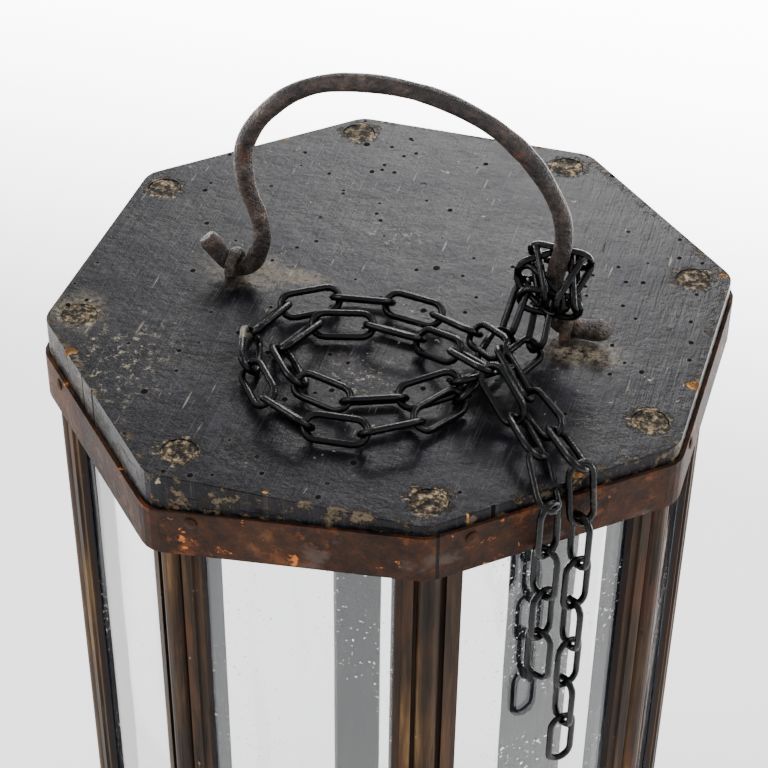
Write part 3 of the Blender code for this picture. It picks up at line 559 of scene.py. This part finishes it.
# Given one by one: from the knot down to the board, and up over the other run where they cross.
LONG_START = ((0.060, -0.006, 0.024), (0.057, -0.014, 0.010), (0.056, -0.030, CHAIN_LIFT))
LONG_CROSSING = ((0.052, -0.036, 0.016), (0.064, -0.048, 0.015))
SHORT_START = ((0.070, -0.008, 0.022), (0.070, -0.018, 0.010))
SHORT_OVER = ((0.058, -0.054, 0.014), (0.047, -0.060, 0.010))
SHORT_CROSSING = ((0.044, -0.047, 0.014), (0.056, -0.058, 0.019))
LYING_ROLLS = (44, -38)  # links lie leaning on the board, one way and the other
KNOT_MIDDLE = (0.0735, -0.0070)
KNOT_REACH = (0.0150, 0.0108)
KNOT_LOW = 0.0265  # the first and last wraps, above the board
KNOT_HIGH = 0.0335
KNOT_TILT = 0.0080  # its back is higher, so it clears the board when the handle falls back
KNOT_TURNS = 2.2
KNOT_STEPS = 30
KNOT_START = 0.6  # of a turn, counted from +X
KNOT_ROLLS = (88, 70)
LONG_HANGING_ROLLS = (90, -5)
SHORT_HANGING_ROLLS = (155, 80)
ROLL_SWAY = 14  # degrees, the most that a link strays from its roll
OUTER_TURN = ((0.049, 0.045), 8, -315)  # reach along X and Y, first and last angle in degrees
INNER_TURN = ((0.035, 0.026), -25, -332)
TURN_SLACK = 0.045


def link_points(start, end, roll):
    """A link's centre line between two meeting points: (point, outward direction) round the oval."""
    along = (end - start).normalized()
    level = Vector((0, 0, 1)).cross(along)
    if level.length < 0.3:
        level = Vector((0.7, 0.7, 0)).cross(along)
    level.normalize()
    upright = along.cross(level)
    across = level * math.cos(roll) + upright * math.sin(roll)
    normal = along.cross(across)
    radius = LINK_WIDTH / 2 - LINK_WIRE
    straight = LINK_PITCH / 2 + LINK_WIRE - radius
    middle = (start + end) / 2
    points = []
    for side in (1, -1):
        for step in range(LINK_END_STEPS + 1):
            turn = math.pi * (step / LINK_END_STEPS - 0.5)
            out = along * (side * math.cos(turn)) + across * (side * math.sin(turn))
            points.append((middle + along * side * straight + out * radius, out))
    return points, normal


def add_link(shape, start, end, roll, seed):
    points, normal = link_points(start, end, roll)
    rings = []
    for point, out in points:
        ring = []
        wear = 1 + 0.05 * noise.noise(point * 400 + Vector((seed, 0, 0)))
        for side in range(WIRE_SIDES):
            turn = 2 * math.pi * side / WIRE_SIDES
            # The wire is a little flat on its faces, as drawn wire bent cold is.
            square = 1 + 0.07 * math.cos(4 * turn)
            offset = out * math.cos(turn) + normal * math.sin(turn)
            ring.append(point + offset * (LINK_WIRE * wear * square))
        rings.append(ring)
    loft(shape, rings, closed=True)


def loose_turn(reach, first, last):
    """One turn of the chain round the coil's middle, as it lies: X, Y, and up from the board's top."""
    points = []
    for step in range(TURN_STEPS + 1):
        angle = math.radians(first + (last - first) * step / TURN_STEPS)
        slack = 1 + TURN_SLACK * math.sin(3 * angle)
        x = COIL_MIDDLE[0] + reach[0] * slack * math.cos(angle)
        y = COIL_MIDDLE[1] + reach[1] * slack * math.sin(angle)
        points.append((x, y, CHAIN_LIFT))
    return tuple(points)


def knot_route():
    """The chain's wraps round the handle's foot."""
    points = []
    for step in range(KNOT_STEPS + 1):
        share = step / KNOT_STEPS
        angle = 2 * math.pi * (KNOT_TURNS * share + KNOT_START)
        x = KNOT_MIDDLE[0] + KNOT_REACH[0] * math.cos(angle)
        y = KNOT_MIDDLE[1] + KNOT_REACH[1] * math.sin(angle)
        up = KNOT_LOW + (KNOT_HIGH - KNOT_LOW) * share + KNOT_TILT * math.sin(angle)
        points.append((x, y, up))
    return tuple(points)


def along_route(route):
    """Places where the links meet: along a smooth curve through the route, one link's pitch apart."""
    places = [Vector(point) + Vector((0, 0, BOARD_TOP)) for point in route]
    joints = [places[0]]
    for point in curve_through(places, ROUTE_PIECES):
        if (point - joints[-1]).length >= LINK_PITCH:
            joints.append(joints[-1] + (point - joints[-1]).normalized() * LINK_PITCH)
    return joints


def make_run(name, route, hanging_rolls, replaced, material):
    joints = along_route(route)
    shape = bmesh.new()
    for index, (start, end) in enumerate(zip(joints, joints[1:])):
        rolls = LYING_ROLLS if end.z > BOARD_TOP else hanging_rolls
        roll = rolls[index % 2] + ROLL_SWAY * noise.noise(Vector((index * 1.7, len(name), 0)))
        add_link(shape, start, end, math.radians(roll), index)
    run = add_mesh(name, shape, material)
    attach(run, "lantern")
    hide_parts(*replaced)


def make_knot(material):
    shape = bmesh.new()
    joints = along_route(knot_route())
    for index, (start, end) in enumerate(zip(joints, joints[1:])):
        add_link(shape, start, end, math.radians(KNOT_ROLLS[index % 2]), 50 + index)
    knot = add_mesh("knot_links", shape, material)
    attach(knot, "handle")
    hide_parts("chain_knot")


# ---------------------------------------------------------------- forged handle
# The handle's centre line as part.py has it, apart from its two tails: along its axis, and up from the board.
HANDLE_PATH = (
    (-0.0822, 0.0185), (-0.0776, 0.0125), (-0.0733, 0.0076), (-0.0695, 0.0056), (-0.0655, 0.0058),
    (-0.0610, 0.0092), (-0.0582, 0.0160), (-0.0566, 0.0240), (-0.0580, 0.0340), (-0.0620, 0.0460),
    (-0.0640, 0.0590), (-0.0630, 0.0690), (-0.0580, 0.0800), (-0.0510, 0.0890), (-0.0425, 0.0970),
    (-0.0320, 0.1030), (-0.0210, 0.1065), (-0.0080, 0.1082), (0.0040, 0.1081), (0.0170, 0.1066),
    (0.0290, 0.1033), (0.0420, 0.0976), (0.0525, 0.0902), (0.0613, 0.0814), (0.0680, 0.0716),
    (0.0730, 0.0613), (0.0750, 0.0524), (0.0750, 0.0433), (0.0730, 0.0318), (0.0722, 0.0170),
    (0.0735, 0.0090), (0.0770, 0.0054), (0.0800, 0.0052), (0.0840, 0.0053), (0.0890, 0.0057),
    (0.0935, 0.0066), (0.0965, 0.0090),
)
HANDLE_Y = -0.005
HANDLE_RADIUS = 0.0039
HANDLE_SIDES = 16
HANDLE_PIECES = 6
TAIL_LENGTH = 0.016  # each end is hammered wider over this much
TAIL_WIDER = 0.60
TAIL_TURN = 0.08  # how much the right end bends to the front
TAIL_TURN_FROM = 0.078


def make_handle(material):
    """The bail as the smith left it: uneven in thickness, faintly faceted, wide and blunt at its ends."""
    places = []
    for x, z in HANDLE_PATH:
        places.append(Vector((x, HANDLE_Y - TAIL_TURN * max(0.0, x - TAIL_TURN_FROM), BOARD_TOP + z)))
    points = curve_through(places, HANDLE_PIECES)
    travelled = [0.0]
    for near, far in zip(points, points[1:]):
        travelled.append(travelled[-1] + (far - near).length)
    rings = []
    side = Vector((0, 1, 0))
    for index, point in enumerate(points):
        along = (points[min(index + 1, len(points) - 1)] - points[max(index - 1, 0)]).normalized()
        up = along.cross(side)
        to_end = min(travelled[index], travelled[-1] - travelled[index])
        tail = max(0.0, 1 - to_end / TAIL_LENGTH) ** 0.5
        blunt = min(1.0, 0.72 + to_end / 0.007)
        lump = 1 + 0.12 * noise.noise(point * 45) + 0.06 * noise.noise(point * 130)
        wide = HANDLE_RADIUS * lump * blunt * (1 + (TAIL_WIDER if point.x > 0 else TAIL_WIDER / 3) * tail)
        thick = HANDLE_RADIUS * lump * blunt * (1 + 0.18 * tail)
        sway = 0.0006 * noise.noise(point * 40 + Vector((5, 0, 0)))
        ring = []
        for step in range(HANDLE_SIDES):
            turn = 2 * math.pi * step / HANDLE_SIDES
            facet = 1 + 0.035 * math.cos(4 * turn + 3 * noise.noise(point * 18))
            sideways = side * (wide * facet * math.cos(turn) + sway)
            ring.append(point + sideways + up * (thick * facet * math.sin(turn)))
        rings.append(ring)
    shape = bmesh.new()
    loft(shape, rings)
    handle = add_mesh("forged_handle", shape, material)
    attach(handle, "handle")
    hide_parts("handle")


STAPLE_PLACES = {"staple_left": -0.0695, "staple_right": 0.0800}
STAPLE_WIRE = 0.0022
STAPLE_ARCH = 0.0066
AXIS_ABOVE_BOARD = 0.0052
STAPLE_ARCH_STEPS = 16
STAPLE_LEG_STEPS = 4
STAPLE_LEG_PIECE = 0.0035
STAPLE_SIDES = 12


def make_staple(node, along, material):
    """A hand-forged staple: a thick arch over the handle, thinner where its legs go into the board."""
    shape = bmesh.new()
    rings = []
    for step in range(STAPLE_LEG_STEPS * 2 + STAPLE_ARCH_STEPS + 1):
        turn = math.pi * (step - STAPLE_LEG_STEPS) / STAPLE_ARCH_STEPS
        on_arch = 0 <= turn <= math.pi
        angle = min(max(turn, 0.0), math.pi)
        y = HANDLE_Y - STAPLE_ARCH * math.cos(angle)
        past_arch = max(STAPLE_LEG_STEPS - step, step - STAPLE_LEG_STEPS - STAPLE_ARCH_STEPS)
        drop = 0.0 if on_arch else STAPLE_LEG_PIECE * past_arch
        z = BOARD_TOP + AXIS_ABOVE_BOARD + STAPLE_ARCH * math.sin(angle) - drop
        point = Vector((along, y, z))
        out = Vector((0, -math.cos(angle), math.sin(angle)))
        size = STAPLE_WIRE * (1 + 0.14 * noise.noise(point * 160)) * (1 - 28 * drop)
        ring = []
        for side in range(STAPLE_SIDES):
            roll = 2 * math.pi * side / STAPLE_SIDES
            ring.append(point + (out * math.cos(roll) + Vector((1.25, 0, 0)) * math.sin(roll)) * size)
        rings.append(ring)
    loft(shape, rings)
    staple = add_mesh("forged_" + node, shape, material)
    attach(staple, "lantern")
    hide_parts(node)


# ---------------------------------------------------------------- studio
FLOOR_GLOW = 0.95
FLOOR_GLOW_BEHIND = 10.0  # added behind the lantern


def make_studio():
    shape = bmesh.new()
    bmesh.ops.create_grid(shape, x_segments=1, y_segments=1, size=12)
    floor_look = Look("studio_floor", roughness=0.9, colour=(0.88, 0.88, 0.875))
    # The sweep glows as a light table does, and much more strongly behind the lantern.
    floor_look.shader.inputs["Emission Color"].default_value = (1, 1, 1, 1)
    far = floor_look.step(floor_look.split()[1], 0.45, 1.3)
    glow = floor_look.math("MULTIPLY_ADD", far, FLOOR_GLOW_BEHIND, FLOOR_GLOW)
    floor_look.feed(floor_look.shader.inputs["Emission Strength"], glow)
    floor = add_mesh("studio_floor", shape, floor_look.material)
    world = bpy.data.worlds.new("studio")
    world.use_nodes = True
    world.node_tree.nodes["Background"].inputs["Color"].default_value = (0.95, 0.97, 1.0, 1)
    world.node_tree.nodes["Background"].inputs["Strength"].default_value = 0.88
    bpy.context.scene.world = world
    target = Vector((0, 0, 0.42))
    for name, place, size, power in (
        ("key", (-1.5, -0.7, 1.9), 1.0, 26),
        ("back", (-0.5, 2.2, 1.5), 1.3, 33),
        ("fill", (1.3, -1.5, 1.5), 1.4, 8),
        ("rear_glint", (-0.20, 1.5, 1.45), 0.22, 7),
        ("right_glint", (0.9, 0.4, 1.5), 0.22, 9),
    ):
        light = bpy.data.objects.new(name, bpy.data.lights.new(name, "AREA"))
        light.data.size = size
        light.data.energy = power
        light.location = place
        light.rotation_euler = (target - Vector(place)).to_track_quat("-Z", "Y").to_euler()
        bpy.context.scene.collection.objects.link(light)


def paint_frame():
    looks = {
        "black_board": board_look(),
        "old_wood": post_look(),
        "rusty_iron": rust_look(),
        "handle_iron": forged_look(),
        "chain_steel": chain_look(),
        "tinplate": tin_look(),
        "clear_glass": glass_look(),
    }
    for part in frame["record"]["subparts"]:
        look = looks[part["material_slot"]]
        for slot in NODES[part["node"]].material_slots:
            slot.material = look
    return looks


make_camera()
looks = paint_frame()
make_run(
    "chain_run_long",
    (*LONG_START, *loose_turn(*OUTER_TURN), *LONG_CROSSING, *LONG_END),
    LONG_HANGING_ROLLS,
    ("chain_coil", "chain_end_long"),
    looks["chain_steel"],
)
make_run(
    "chain_run_short",
    (*SHORT_START, *CHAIN_LEAD, *SHORT_OVER, *loose_turn(*INNER_TURN), *SHORT_CROSSING, *SHORT_END),
    SHORT_HANGING_ROLLS,
    ("chain_lead", "chain_end_short"),
    looks["chain_steel"],
)
make_knot(looks["chain_steel"])
make_handle(looks["handle_iron"])
for staple_node, staple_x in STAPLE_PLACES.items():
    make_staple(staple_node, staple_x, looks["handle_iron"])
make_studio()
